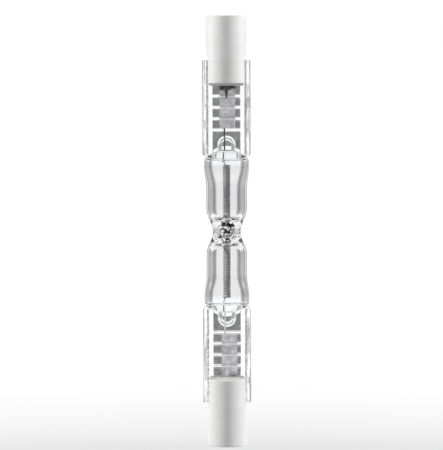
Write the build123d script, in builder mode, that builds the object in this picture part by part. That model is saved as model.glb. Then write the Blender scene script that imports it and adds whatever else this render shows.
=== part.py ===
from build123d import *

import os
from math import atan, atan2, cos, floor, pi, sin, sqrt

# A short double-ended linear halogen lamp, standing on its lower cap. Z runs along the lamp, X runs across
# the flat press seals, and the sealed exhaust tip points to -Y. Sizes are in millimetres. Each upper piece is
# made once, and its lower twin is its mirror image in the plane through the waist.

# Glass capsule: two lobes with a waist between them, each closed by a dome at its press seal
waist_wall = 1.45
lobe_wall = 0.95
dome_wall = 1.8
waist_diameter = 5.0
lobe_diameter = 7.35
shoulder_diameter = 8.2
neck_length = 4.2
lobe_length = 5.0
flare_length = 2.5
shoulder_length = 0.8
dome_height = 2.4

# Counts of short straight steps that draw the capsule's bends, outside and inside
neck_steps = 9
dome_steps = 5
inner_neck_steps = 3
inner_dome_steps = 2

# Exhaust tip, drawn off and sealed on the front of the waist
tip_base_diameter = 2.6
tip_end_diameter = 2.0
tip_reach = 3.95
tip_point_diameter = 0.9
tip_point_height = 0.55
tip_bore_diameter = 0.9
tip_bore_end_diameter = 0.2
tip_end_wall = 0.9

# Press seals, with thick rims along both edges and pressed panels between cross ribs
press_length = 16.2
press_width = 8.7
press_thickness = 2.5
press_root_overlap = 1.4
press_root_corner = 0.8
press_end_corner = 0.3
rim_width = 0.9
rim_height = 0.55
rim_flat = 0.2
panel_width = 5.1
panel_depth = 0.2
rib_width = 0.4
rib_pitch = 2.04
rib_count = 5
first_rib = 3.55

# Flat pocket that the cavity leaves in the root of each press seal
pocket_width = 3.2
pocket_thickness = 1.4
pocket_length = 2.2

# Ceramic caps, slotted over the press seals and cemented on
cap_diameter = 7.2
cap_length = 12.2
cap_edge_chamfer = 0.2
slot_depth = 5.1
slot_edge_chamfer = 0.12
recess_diameter = 4.0
cement_layer = 0.165
cement_bed = 0.8
cement_inset = 0.2
cement_overhang = 0.35

# Contacts, each seated at the bottom of the recess in the end of its cap
contact_depth = 1.55
contact_diameter = 3.4
contact_thickness = 0.7
contact_clearance = 0.1
lead_bore_clearance = 0.15

# Leads and sealing foils inside the press seals
outer_lead_diameter = 0.7
outer_lead_reach = 2.6
outer_lead_point = 1.4
outer_lead_point_width = 0.16
inner_lead_diameter = 0.3
inner_lead_overlap = 1.5
weld_seat = 0.04
foil_width = 2.9
foil_thickness = 0.06
foil_edge_thickness = 0.02
foil_edge_width = 0.35
foil_start = 3.8
foil_end_margin = 1.7

# Filament, a coil on the axis with a straight tail at each end
coil_diameter = 1.3
coil_wire = 0.24
coil_pitch = 0.82
coil_end_gap = 1.05
coil_bend = 0.4
coil_tail = 0.8
coil_sides = 4
coil_steps = 6
bend_steps = 3

# Heights along the upper half, which add up to an overall length of 78.0
capsule_half = neck_length + lobe_length + flare_length + shoulder_length + dome_height
middle_z = capsule_half + press_length + cement_bed + cap_length - slot_depth
overall_length = 2 * middle_z
middle = Plane.XY.offset(middle_z)
neck_z = middle_z + neck_length
flare_z = neck_z + lobe_length
flare_end_z = flare_z + flare_length
shoulder_z = flare_end_z + shoulder_length
dome_z = shoulder_z + dome_height
cavity_end_z = dome_z - dome_wall
glass_end_z = dome_z + press_length
slot_floor_z = glass_end_z + cement_bed
cap_inner_z = slot_floor_z - slot_depth
contact_face_z = overall_length - contact_depth
contact_seat_z = contact_face_z - contact_thickness

# Places of the leads and the foil: the outer lead is on the axis, with the foil behind it
outer_lead_radius = outer_lead_diameter / 2
inner_lead_radius = inner_lead_diameter / 2
foil_y = outer_lead_radius - weld_seat + foil_thickness / 2
foil_inner_z = dome_z + foil_start
foil_outer_z = glass_end_z - foil_end_margin
outer_lead_tip_z = cap_inner_z - outer_lead_reach

# The coil's ends: each bends out of the last turn into a tail that runs along the lamp, in line with its lead
coil_radius = (coil_diameter - coil_wire) / 2
coil_rise_angle = atan(coil_pitch / (2 * pi * coil_radius))
tail_offset = coil_bend * (1 - sin(coil_rise_angle))
tail_radius = sqrt(coil_radius**2 + tail_offset**2)
tail_angle = atan(tail_offset / coil_radius)
whole_turns = floor(2 * (cavity_end_z - coil_end_gap - middle_z) / coil_pitch)
coil_turn = 2 * pi * whole_turns - 2 * tail_angle
coil_half_height = coil_pitch * coil_turn / (4 * pi)
tail_end_z = middle_z + coil_half_height + coil_bend * cos(coil_rise_angle) + coil_tail
inner_lead_y = foil_y + foil_thickness / 2 + inner_lead_radius - weld_seat
inner_lead_x = -sqrt(tail_radius**2 - inner_lead_y**2)

# Shared sections of the press seals' rims and of the slot in a cap
rim_thickness = press_thickness + 2 * rim_height
rim_edge_radius = (rim_width - rim_flat) / 2
cap_radius = cap_diameter / 2
slot_width = press_thickness + 2 * cement_layer
leg_half_width = sqrt(cap_radius**2 - (slot_width / 2) ** 2)
bore_radius = outer_lead_radius + lead_bore_clearance


def capsule_section(waist_inset, lobe_inset, dome_inset, bend_count, dome_count):
    """Draw one side of the capsule's section, from dome to dome, inset from its outer form."""
    waist = waist_diameter / 2 - waist_inset
    lobe = lobe_diameter / 2 - lobe_inset
    shoulder = shoulder_diameter / 2 - lobe_inset
    dome_top = dome_z - dome_inset
    outline = []
    for k in range(bend_count + 1):
        swell = (1 - cos(pi * k / bend_count)) / 2
        outline.append((waist + (lobe - waist) * swell, middle_z + neck_length * k / bend_count))
    outline.append((lobe, flare_z))
    outline.append((shoulder, flare_end_z))
    for k in range(dome_count):
        turn = pi / 2 * k / dome_count
        outline.append((shoulder * cos(turn), shoulder_z + (dome_top - shoulder_z) * sin(turn)))
    outline.append((0, dome_top))
    with BuildSketch(Plane.XZ) as section:
        with BuildLine():
            Polyline(*outline)
            mirror(about=Plane((0, middle_z, 0), z_dir=(0, 1, 0)))
            Line((0, dome_top), (0, 2 * middle_z - dome_top))
        make_face()
    return section.sketch


# Sealing foil: a strip whose long edges are thinned
with BuildPart() as upper_foil:
    with BuildSketch(Plane.XY.offset(foil_inner_z)):
        with BuildLine():
            Polyline(
                (foil_width / 2, foil_y - foil_edge_thickness / 2),
                (foil_width / 2, foil_y + foil_edge_thickness / 2),
                (foil_width / 2 - foil_edge_width, foil_y + foil_thickness / 2),
                (0, foil_y + foil_thickness / 2),
            )
            Polyline(
                (foil_width / 2, foil_y - foil_edge_thickness / 2),
                (foil_width / 2 - foil_edge_width, foil_y - foil_thickness / 2),
                (0, foil_y - foil_thickness / 2),
            )
            mirror(about=Plane.YZ)
        make_face()
    extrude(amount=foil_outer_z - foil_inner_z)

# Outer lead: a thick wire from the contact to the foil, cut to a point where it is welded on
with BuildPart() as upper_outer_lead:
    with BuildSketch(Plane.XY.offset(outer_lead_tip_z)):
        Circle(outer_lead_radius)
    extrude(amount=contact_seat_z - outer_lead_tip_z)
    with BuildSketch(Plane.XZ):
        cut_side = outer_lead_diameter - outer_lead_point_width / 2
        with BuildLine():
            Polyline(
                (outer_lead_point_width / 2, outer_lead_tip_z),
                (cut_side, outer_lead_tip_z + 2 * outer_lead_point),
                (cut_side, outer_lead_tip_z),
                close=True,
            )
        make_face()
        mirror(about=Plane.YZ)
    extrude(amount=outer_lead_diameter, both=True, mode=Mode.SUBTRACT)
    add(upper_foil.part, mode=Mode.SUBTRACT)

# Inner lead: a thin wire welded to the back of the foil, which runs into the capsule to the filament's tail
with BuildPart() as upper_inner_lead:
    with BuildSketch(Plane.XY.offset(tail_end_z)):
        with Locations((inner_lead_x, inner_lead_y)):
            Circle(inner_lead_radius)
    extrude(amount=foil_inner_z + inner_lead_overlap - tail_end_z)
    add(upper_foil.part, mode=Mode.SUBTRACT)


def coil_point(angle, z, along=0, rise=0):
    """A point of the coil at an angle and height, moved along the wire's direction there and up."""
    x = coil_radius * cos(angle) - along * sin(angle)
    y = coil_radius * sin(angle) + along * cos(angle)
    return (x, y, z + rise)


def tail_points(angle, z, side):
    """Points of a tail from the coil outwards, where side is 1 above the coil and -1 below it."""
    points = []
    for k in range(1, bend_steps + 1):
        lean = coil_rise_angle + (pi / 2 - coil_rise_angle) * k / bend_steps
        along = coil_bend * (sin(lean) - sin(coil_rise_angle))
        rise = coil_bend * (cos(coil_rise_angle) - cos(lean))
        points.append(coil_point(angle, z, side * along, side * rise))
    end_rise = coil_bend * cos(coil_rise_angle) + coil_tail
    points.append(coil_point(angle, z, side * tail_offset, side * end_rise))
    return points


# Filament: a fine wire of few sides, swept from the lower tail through the coil's turns to the upper tail
coil_start = atan2(inner_lead_y, inner_lead_x) + tail_angle
coil_foot_z = middle_z - coil_half_height
coil_height = 2 * coil_half_height
coil_shares = [k / (whole_turns * coil_steps) for k in range(whole_turns * coil_steps + 1)]
coil_points = [coil_point(coil_start + coil_turn * s, coil_foot_z + coil_height * s) for s in coil_shares]
lower_tail = tail_points(coil_start, coil_foot_z, -1)[::-1]
upper_tail = tail_points(coil_start + coil_turn, coil_foot_z + coil_height, 1)
with BuildPart() as filament:
    with BuildLine() as wire_path:
        Polyline(*lower_tail, *coil_points, *upper_tail)
    with BuildSketch(Plane(wire_path.line @ 0, z_dir=wire_path.line % 0)):
        RegularPolygon(coil_wire / 2, coil_sides)
    sweep(path=wire_path.line, transition=Transition.RIGHT)

# Flat pocket in the root of the press seal, as a cutter that reaches into the main cavity
pocket_end_z = dome_z + pocket_length
with BuildPart() as pocket:
    with BuildSketch(Plane.XZ):
        with Locations((0, (flare_end_z + pocket_end_z) / 2)):
            SlotOverall(pocket_end_z - flare_end_z, pocket_width, rotation=90)
    extrude(amount=pocket_thickness / 2, both=True)

# Press seal: its section runs along the lamp, its front outline rounds the ends, and panels are pressed in
press_root_z = dome_z - press_root_overlap
rib_heights = [dome_z + first_rib + rib_pitch * k for k in range(rib_count)]
panel_tops = [z - rib_width / 2 for z in rib_heights]
panel_feet = [press_root_z] + [z + rib_width / 2 for z in rib_heights[:-1]]
with BuildPart() as press_seal:
    with BuildSketch(Plane.XY.offset(press_root_z)):
        Rectangle(press_width - rim_width, press_thickness)
        with Locations(((press_width - rim_width) / 2, 0), ((rim_width - press_width) / 2, 0)):
            RectangleRounded(rim_width, rim_thickness, rim_edge_radius)
    extrude(amount=glass_end_z - press_root_z)
    with BuildSketch(Plane.XZ) as press_front:
        with Locations((0, (press_root_z + glass_end_z) / 2)):
            Rectangle(press_width, glass_end_z - press_root_z)
        corners = press_front.vertices().group_by(Axis.Y)
        fillet(corners[0], press_root_corner)
        fillet(corners[-1], press_end_corner)
    extrude(amount=rim_thickness, both=True, mode=Mode.INTERSECT)
    for side in (1, -1):
        with BuildSketch(Plane.XZ.offset(side * press_thickness / 2)):
            for foot, top in zip(panel_feet, panel_tops):
                with Locations((0, (foot + top) / 2)):
                    Rectangle(panel_width, top - foot)
        extrude(amount=-side * panel_depth, mode=Mode.SUBTRACT)

# Quartz envelope: the capsule and its two press seals, hollowed out, with the exhaust tip on the front
tip_base_y = (waist_wall - waist_diameter) / 2
tip_bore_y = waist_wall - waist_diameter / 2
tip_axis = Axis((0, 0, middle_z), (0, 1, 0))
capsule_form = capsule_section(0, 0, 0, neck_steps, dome_steps)
capsule_hollow = capsule_section(waist_wall, lobe_wall, dome_wall, inner_neck_steps, inner_dome_steps)
with BuildPart() as envelope:
    revolve(capsule_form, axis=Axis.Z)
    add(press_seal.part)
    mirror(press_seal.part, about=middle)
    with BuildSketch(middle):
        with BuildLine():
            Polyline(
                (0, -tip_reach),
                (0, tip_base_y),
                (tip_base_diameter / 2, tip_base_y),
                (tip_end_diameter / 2, tip_point_height - tip_reach),
                (tip_point_diameter / 2, -tip_reach),
                close=True,
            )
        make_face()
    revolve(axis=tip_axis)
    revolve(capsule_hollow, axis=Axis.Z, mode=Mode.SUBTRACT)
    with BuildSketch(middle):
        with BuildLine():
            Polyline(
                (0, tip_end_wall - tip_reach),
                (0, 0),
                (tip_bore_diameter / 2, 0),
                (tip_bore_diameter / 2, tip_bore_y),
                (tip_bore_end_diameter / 2, tip_end_wall - tip_reach),
                close=True,
            )
        make_face()
    revolve(axis=tip_axis, mode=Mode.SUBTRACT)
    for sealed_in in (pocket, upper_foil, upper_outer_lead, upper_inner_lead):
        add(sealed_in.part, mode=Mode.SUBTRACT)
        mirror(sealed_in.part, about=middle, mode=Mode.SUBTRACT)

# Ceramic cap: a rod with a slot across its inner end, a recess for the contact and a bore for the lead
with BuildPart() as upper_cap:
    with BuildSketch(Plane.XY.offset(cap_inner_z)):
        Circle(cap_radius)
    extrude(amount=cap_length)
    chamfer(upper_cap.edges().sort_by(Axis.Z)[-1], cap_edge_chamfer)
    with BuildSketch(Plane.XY.offset(cap_inner_z)):
        Rectangle(cap_diameter, slot_width)
    extrude(amount=slot_depth, mode=Mode.SUBTRACT)
    chamfer(upper_cap.faces().filter_by(Axis.Z).sort_by(Axis.Z)[:2].edges(), slot_edge_chamfer)
    with Locations(Plane.XY.offset(overall_length)):
        CounterBoreHole(bore_radius, recess_diameter / 2, contact_depth, cap_length - slot_depth)
    with Locations(Plane.XY.offset(contact_face_z)):
        Hole(contact_diameter / 2 + contact_clearance, contact_thickness)

# Cement: a bed under the end of the press seal, and a thin layer on both of its faces
cement_half_width = leg_half_width - cement_inset
with BuildPart() as upper_cement:
    with BuildSketch(Plane.XY.offset(cap_inner_z - cement_overhang)):
        Rectangle(2 * cement_half_width, slot_width)
    extrude(amount=slot_depth + cement_overhang)
    with BuildSketch(Plane.XY.offset(cap_inner_z - cement_overhang)):
        Rectangle(2 * cement_half_width, press_thickness)
    extrude(amount=glass_end_z - cap_inner_z + cement_overhang, mode=Mode.SUBTRACT)
    add(upper_outer_lead.part, mode=Mode.SUBTRACT)

# Contact: a metal button that the end of the lead is welded to
with BuildPart() as upper_contact:
    with BuildSketch(Plane.XY.offset(contact_seat_z)):
        Circle(contact_diameter / 2)
    extrude(amount=contact_thickness)

# The lower twins, and the files
nodes = {"quartz_envelope": envelope, "filament": filament}
upper_pieces = {
    "ceramic_cap": upper_cap,
    "contact": upper_contact,
    "cement": upper_cement,
    "outer_lead": upper_outer_lead,
    "inner_lead": upper_inner_lead,
    "sealing_foil": upper_foil,
}
for piece_name, upper_piece in upper_pieces.items():
    with BuildPart() as lower_piece:
        mirror(upper_piece.part, about=middle)
    nodes["upper_" + piece_name] = upper_piece
    nodes["lower_" + piece_name] = lower_piece
os.makedirs("parts", exist_ok=True)
for node_name, node in nodes.items():
    node.part.label = node_name
    export_step(node.part, f"parts/{node_name}.step")
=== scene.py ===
import logging
import math
from dataclasses import dataclass, field, replace
from enum import Enum
from typing import Any, Sequence

import bmesh
import bpy
from mathutils import Matrix, Vector


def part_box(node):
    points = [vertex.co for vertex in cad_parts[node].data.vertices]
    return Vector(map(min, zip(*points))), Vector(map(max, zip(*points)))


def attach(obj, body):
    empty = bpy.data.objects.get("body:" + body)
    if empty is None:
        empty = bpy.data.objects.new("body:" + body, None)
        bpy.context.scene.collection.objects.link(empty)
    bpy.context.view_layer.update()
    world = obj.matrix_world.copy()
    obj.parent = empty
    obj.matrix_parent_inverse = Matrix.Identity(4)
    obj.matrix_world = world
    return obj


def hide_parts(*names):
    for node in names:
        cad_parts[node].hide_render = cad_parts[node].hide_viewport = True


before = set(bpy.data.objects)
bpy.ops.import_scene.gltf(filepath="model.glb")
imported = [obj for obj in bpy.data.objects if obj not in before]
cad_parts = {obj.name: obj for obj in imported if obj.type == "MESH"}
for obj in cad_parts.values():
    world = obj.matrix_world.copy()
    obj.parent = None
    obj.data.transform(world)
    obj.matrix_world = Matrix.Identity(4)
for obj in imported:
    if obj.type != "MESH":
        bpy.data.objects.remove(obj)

log = logging.getLogger("linear_lamp")

Span = tuple[float, float]
Triple = tuple[float, float, float]
Wave = tuple[float, float, float, float]
Outline = list[Span]
Ring = list[Vector]
Values = dict[str | int, Any]
Piece = bpy.types.Object
Material = bpy.types.Material
Tree = bpy.types.NodeTree

BLACK: Triple = (0.0, 0.0, 0.0)
WHITE: Triple = (1.0, 1.0, 1.0)
NOISE_SPREAD: Span = (0.3, 0.7)
MERGE_REACH = 1e-7
CARVED_MERGE_REACH = 1e-8


class End(Enum):
    """The two ends of the lamp, twins about its middle."""

    UPPER = 1
    LOWER = -1

    def node(self, piece: str) -> str:
        """Give the name of a piece at this end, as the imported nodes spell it."""
        return f"{self.name.lower()}_{piece}"

    def stand(self, piece: Piece, low: float, high: float) -> None:
        """Move a piece built up from the origin to its place, turned over at the lower end.

        Args:
            piece: The piece, with its inner end at the origin.
            low: Height of the foot of its place.
            high: Height of the top of its place.
        """
        turn = Matrix.Translation((0.0, 0.0, low))
        if self is End.LOWER:
            turn = Matrix.Translation((0.0, 0.0, high)) @ Matrix.Rotation(math.pi, 4, "X")
        piece.data.transform(turn)


class Carve(Enum):
    """Ways in which one solid form changes another."""

    JOIN = "UNION"
    CUT = "DIFFERENCE"


def swell(share: float) -> float:
    """Ease from 0 to 1 along half a cosine wave."""
    return (1.0 - math.cos(math.pi * min(max(share, 0.0), 1.0))) / 2.0


def between(first: float, last: float, share: float) -> float:
    """Give the value that lies a share of the way from the first to the last."""
    return first + (last - first) * share


def ripple(waves: Sequence[Wave], first: float, second: float) -> float:
    """Add up waves over two measures, each given by its height, its pace in both and its phase."""
    return sum(high * math.sin(pace * first + other * second + phase) for high, pace, other, phase in waves)


def link_mesh(name: str, mesh: bpy.types.Mesh | None = None) -> Piece:
    """Put a mesh into the scene as an object at the origin.

    Args:
        name: Name of the object.
        mesh: The mesh, or None for a new and empty one.

    Returns:
        The new object.
    """
    if mesh is None:
        mesh = bpy.data.meshes.new(name)
    piece = bpy.data.objects.new(name, mesh)
    bpy.context.scene.collection.objects.link(piece)
    return piece


def mesh_from(name: str, form: bmesh.types.BMesh) -> Piece:
    """Close a form's doubles, turn its faces outwards and put it into the scene.

    Args:
        name: Name of the object and its mesh.
        form: The form, which is freed.

    Returns:
        The new object.
    """
    bmesh.ops.remove_doubles(form, verts=form.verts, dist=MERGE_REACH)
    bmesh.ops.recalc_face_normals(form, faces=form.faces)
    mesh = bpy.data.meshes.new(name)
    form.to_mesh(mesh)
    form.free()
    return link_mesh(name, mesh)


def loft(name: str, rings: Sequence[Ring], endless: bool = False) -> Piece:
    """Skin a row of closed rings.

    Args:
        name: Name of the object.
        rings: Rings with the same number of points, in order along the form.
        endless: Whether the last ring joins the first, instead of a cap on each.

    Returns:
        The closed object.
    """
    form = bmesh.new()
    rows = [[form.verts.new(point) for point in ring] for ring in rings]
    for low, high in zip(rows, rows[1:] + rows[:1] if endless else rows[1:]):
        for k, corner in enumerate(low):
            after = (k + 1) % len(low)
            form.faces.new((corner, low[after], high[after], high[k]))
    if not endless:
        form.faces.new(rows[0][::-1])
        form.faces.new(rows[-1])
    return mesh_from(name, form)


def circle(radius: float, height: float, segments: int) -> Ring:
    """Give a level ring of points round the Z axis."""
    turns = [2.0 * math.pi * k / segments for k in range(segments)]
    return [Vector((radius * math.cos(a), radius * math.sin(a), height)) for a in turns]


def lathe(name: str, outline: Outline, segments: int) -> Piece:
    """Turn an outline of radius and height round the Z axis."""
    return loft(name, [circle(radius, height, segments) for radius, height in outline])


def rounded_corner(centre: Span, radius: float, start: float, steps: int) -> Outline:
    """Give the points of a quarter round that starts at an angle in degrees."""
    angles = [math.radians(start + 90.0 * k / steps) for k in range(steps + 1)]
    return [(centre[0] + radius * math.cos(a), centre[1] + radius * math.sin(a)) for a in angles]


def plain_mesh(piece: Piece) -> None:
    """Replace an object's mesh with the result of its modifiers and drop the modifiers.

    Args:
        piece: The object, whose new mesh takes the old one's name.
    """
    graph = bpy.context.evaluated_depsgraph_get()
    result = bpy.data.meshes.new_from_object(piece.evaluated_get(graph))
    piece.modifiers.clear()
    former = piece.data
    piece.data = result
    name = former.name
    bpy.data.meshes.remove(former)
    result.name = name


def carve(body: Piece, tool: Piece, way: Carve) -> None:
    """Join a tool to a body or cut it away, and remove the tool.

    Args:
        body: The object that is kept.
        tool: A closed object, used up here.
        way: Whether the tool is joined or cut away.
    """
    step = body.modifiers.new("carve", "BOOLEAN")
    step.operation = way.value
    step.object = tool
    step.solver = "MANIFOLD"
    plain_mesh(body)
    mesh = tool.data
    bpy.data.objects.remove(tool)
    bpy.data.meshes.remove(mesh)


def merge_doubles(piece: Piece) -> None:
    """Merge the points of a carved piece that lie on each other.

    Args:
        piece: The piece, whose faces already point outwards.
    """
    form = bmesh.new()
    form.from_mesh(piece.data)
    bmesh.ops.remove_doubles(form, verts=form.verts, dist=CARVED_MERGE_REACH)
    bmesh.ops.dissolve_degenerate(form, dist=CARVED_MERGE_REACH, edges=form.edges)
    form.to_mesh(piece.data)
    form.free()


def smooth(piece: Piece, angle: float) -> None:
    """Shade a piece smooth.

    Args:
        piece: The piece.
        angle: Angle in degrees beyond which an edge stays crisp.
    """
    mesh = piece.data
    mesh.polygons.foreach_set("use_smooth", [True] * len(mesh.polygons))
    mesh.set_sharp_from_angle(angle=math.radians(angle))


def hand_over(piece: Piece, material: Material, slot: str, *nodes: str) -> None:
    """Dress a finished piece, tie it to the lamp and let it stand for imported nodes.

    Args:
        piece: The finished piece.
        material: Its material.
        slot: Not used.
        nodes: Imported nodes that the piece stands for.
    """
    piece.data.materials.clear()
    piece.data.materials.append(material)
    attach(piece, "root")
    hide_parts(*nodes)
    log.info("%s: %d faces, stands for %s", piece.name, len(piece.data.polygons), ", ".join(nodes))


class Wire:
    """A value on its way through a node tree, which can be reckoned with like a number."""

    def __init__(self, sheet: "NodeSheet", socket: bpy.types.NodeSocket) -> None:
        """Take the value from a node's output."""
        self.sheet = sheet
        self.socket = socket

    def math(self, operation: str, *others: Any, clamp: bool = False) -> "Wire":
        """Reckon with this value and others, and hold the result between 0 and 1 if it is clamped."""
        values = dict(enumerate((self, *others)))
        return self.sheet.out("ShaderNodeMath", values, operation=operation, use_clamp=clamp)

    def __add__(self, other: Any) -> "Wire":
        """Add a number or another value."""
        return self.math("ADD", other)

    def __sub__(self, other: Any) -> "Wire":
        """Take a number or another value away."""
        return self.math("SUBTRACT", other)

    def __rsub__(self, other: float) -> "Wire":
        """Take this value away from a number."""
        return self.math("MULTIPLY_ADD", -1.0, other)

    def __mul__(self, other: Any) -> "Wire":
        """Multiply by a number or another value."""
        return self.math("MULTIPLY", other)

    def __truediv__(self, other: Any) -> "Wire":
        """Divide by a number or another value."""
        return self.math("DIVIDE", other)

    def __abs__(self) -> "Wire":
        """Drop the sign."""
        return self.math("ABSOLUTE")

    def ramp(self, low: float, high: float, first: float = 0.0, last: float = 1.0) -> "Wire":
        """Map the value smoothly to another range, held at its ends, where low may be above high."""
        numbers = {0: self, 1: low, 2: high, 3: first, 4: last}
        return self.sheet.out("ShaderNodeMapRange", numbers, interpolation_type="SMOOTHSTEP")

    def noise(self, scale: Any, detail: float) -> "Wire":
        """Give a soft noise at this place."""
        return self.sheet.out("ShaderNodeTexNoise", {"Vector": self, "Scale": scale, "Detail": detail})

    def choose(self, first: Any, second: Any) -> "Wire":
        """Mix two numbers, with this value as the share of the second."""
        return self.sheet.out("ShaderNodeMix", {0: self, 2: first, 3: second})

    def blend(self, first: "Wire | Triple", second: "Wire | Triple") -> "Wire":
        """Mix two colours, with this value as the share of the second."""
        under, over = [tint if isinstance(tint, Wire) else (*tint, 1.0) for tint in (first, second)]
        return self.sheet.out("ShaderNodeMix", {0: self, 6: under, 7: over}, 2, data_type="RGBA")

    def axes(self) -> list["Wire"]:
        """Take a place apart into X, Y and Z."""
        return list(self.sheet.wires("ShaderNodeSeparateXYZ", {0: self}).values())


class NodeSheet:
    """A node tree with short ways to add nodes and wire them."""

    def __init__(self, tree: Tree) -> None:
        """Start with an empty tree."""
        self.tree = tree
        tree.nodes.clear()

    @classmethod
    def for_material(cls, name: str) -> tuple[Material, "NodeSheet"]:
        """Start a material.

        Args:
            name: Name of the material.

        Returns:
            The material and the sheet of its tree.
        """
        material = bpy.data.materials.new(name)
        material.use_nodes = True
        return material, cls(material.node_tree)

    @classmethod
    def for_group(
        cls, name: str, kind: str, inputs: dict[str, str], outputs: dict[str, str]
    ) -> "NodeSheet":
        """Start a node group with named sockets.

        Args:
            name: Name of the group.
            kind: The tree's type.
            inputs: Kind of each input, by its name.
            outputs: Kind of each output, by its name.

        Returns:
            The sheet of the group's tree.
        """
        tree = bpy.data.node_groups.new(name, kind)
        for way, sockets in (("INPUT", inputs), ("OUTPUT", outputs)):
            for label, sort in sockets.items():
                tree.interface.new_socket(label, in_out=way, socket_type=f"NodeSocket{sort}")
        return cls(tree)

    def add(self, kind: str, inputs: Values | None = None, **settings: Any) -> bpy.types.Node:
        """Add a node.

        Args:
            kind: The node's type.
            inputs: Values to wire or to set, by socket name or number.
            settings: Properties of the node.

        Returns:
            The new node.
        """
        node = self.tree.nodes.new(kind)
        for name, value in settings.items():
            setattr(node, name, value)
        for key, value in (inputs or {}).items():
            self.feed(node.inputs[key], value)
        return node

    def feed(self, socket: bpy.types.NodeSocket, value: Any) -> None:
        """Bring a value to a socket.

        Args:
            socket: An input of a node.
            value: A wire to link, or a plain value to set.
        """
        if isinstance(value, Wire):
            self.tree.links.new(value.socket, socket)
        else:
            socket.default_value = value

    def out(
        self, kind: str, inputs: Values | None = None, pick: str | int = 0, **settings: Any
    ) -> Wire:
        """Add a node and take one of its outputs, by name or number."""
        return Wire(self, self.add(kind, inputs, **settings).outputs[pick])

    def wires(self, kind: str, inputs: Values | None = None, **settings: Any) -> dict[str, Wire]:
        """Add a node and take all its outputs, by name."""
        node = self.add(kind, inputs, **settings)
        return {socket.name: Wire(self, socket) for socket in node.outputs}

    def place(self) -> Wire:
        """Give the object's own coordinates."""
        return self.out("ShaderNodeTexCoord", pick="Object")

    def vector(self, x: Any = 0.0, y: Any = 0.0, z: Any = 0.0) -> Wire:
        """Put three numbers together."""
        return self.out("ShaderNodeCombineXYZ", {0: x, 1: y, 2: z})

    def join(self, *shapes: Wire) -> Wire:
        """Join shapes into one.

        Args:
            shapes: Shapes of a geometry tree.

        Returns:
            The joined shape.
        """
        node = self.add("GeometryNodeJoinGeometry")
        for shape in shapes:
            self.feed(node.inputs[0], shape)
        return Wire(self, node.outputs[0])


def geometry_tree(name: str, numbers: Sequence[str], whole: str) -> NodeSheet:
    """Start a geometry tree with named inputs.

    Args:
        name: Name of the tree.
        numbers: Names of its inputs that are lengths or angles.
        whole: Name of its input that is a whole number.

    Returns:
        The empty tree's sheet.
    """
    inputs = {**dict.fromkeys(numbers, "Float"), whole: "Int", "Material": "Material"}
    return NodeSheet.for_group(name, "GeometryNodeTree", inputs, {"Form": "Geometry"})


def close_tree(sheet: NodeSheet, shape: Wire, material: Wire) -> None:
    """End a geometry tree by realizing its instances and setting the material.

    Args:
        sheet: The tree's sheet.
        shape: The shape that the tree gives.
        material: The shape's material.
    """
    real = sheet.out("GeometryNodeRealizeInstances", {"Geometry": shape})
    dressed = sheet.out("GeometryNodeSetMaterial", {"Geometry": real, "Material": material})
    sheet.add("NodeGroupOutput", {"Form": dressed})


def run_tree(piece: Piece, tree: Tree, sizes: dict[str, Any]) -> None:
    """Put a geometry tree on an object and set its inputs by name.

    Args:
        piece: The object that gets the tree.
        tree: The geometry tree.
        sizes: Value of each named input.
    """
    step = piece.modifiers.new("form", "NODES")
    step.node_group = tree
    for item in tree.interface.items_tree:
        if item.in_out == "INPUT" and item.name in sizes:
            step[item.identifier] = sizes[item.name]


def mottle_group() -> Tree:
    """Make the shared effect of soft patches and fine grain, or give the one made before.

    Returns:
        The group, which takes a place and two scales.
    """
    name = "patches_and_grain"
    if name in bpy.data.node_groups:
        return bpy.data.node_groups[name]
    inputs = {"Place": "Vector", "Patch Scale": "Float", "Grain Scale": "Float"}
    sheet = NodeSheet.for_group(name, "ShaderNodeTree", inputs, {"Patches": "Float", "Grain": "Float"})
    given = sheet.wires("NodeGroupInput")
    patches = given["Place"].noise(given["Patch Scale"], detail=3.0)
    grain = given["Place"].noise(given["Grain Scale"], detail=5.0)
    sheet.add("NodeGroupOutput", {"Patches": patches.ramp(*NOISE_SPREAD), "Grain": grain})
    return sheet.tree


def mottle(place: Wire, patch_scale: float, grain_scale: float) -> dict[str, Wire]:
    """Give the shared effect's masks at a place, by the names Patches and Grain."""
    given = {"Place": place, "Patch Scale": patch_scale, "Grain Scale": grain_scale}
    return place.sheet.wires("ShaderNodeGroup", given, node_tree=mottle_group())


@dataclass(frozen=True)
class RoomTone:
    """Tone of the room by direction, white with grey towards its four corners."""

    white: float = 1.0
    edge_grey: float = 0.22
    corner_grey: float = 0.5
    backdrop: Span = (0.28, 0.5)
    corner: Span = (0.5, 0.98)
    rise: Span = (0.15, 0.24)
    least_level: float = 0.0001

    def group(self) -> Tree:
        """Make the shared group, which takes a direction and gives a tone.

        Returns:
            The group.
        """
        outputs = {"Tone": "Float"}
        sheet = NodeSheet.for_group("room_tone", "ShaderNodeTree", {"Direction": "Vector"}, outputs)
        given = sheet.wires("NodeGroupInput")["Direction"]
        x, y, z = sheet.out("ShaderNodeVectorMath", {0: given}, operation="NORMALIZE").axes()
        skew = abs(x * y) * 2.0 / (x * x + y * y).math("MAXIMUM", self.least_level)
        grey_share = skew.ramp(*self.backdrop) * abs(z).ramp(*self.rise, 1.0, 0.0)
        grey = skew.ramp(*self.corner, self.edge_grey, self.corner_grey)
        sheet.add("NodeGroupOutput", {"Tone": grey_share.choose(self.white, grey)})
        return sheet.tree


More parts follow.
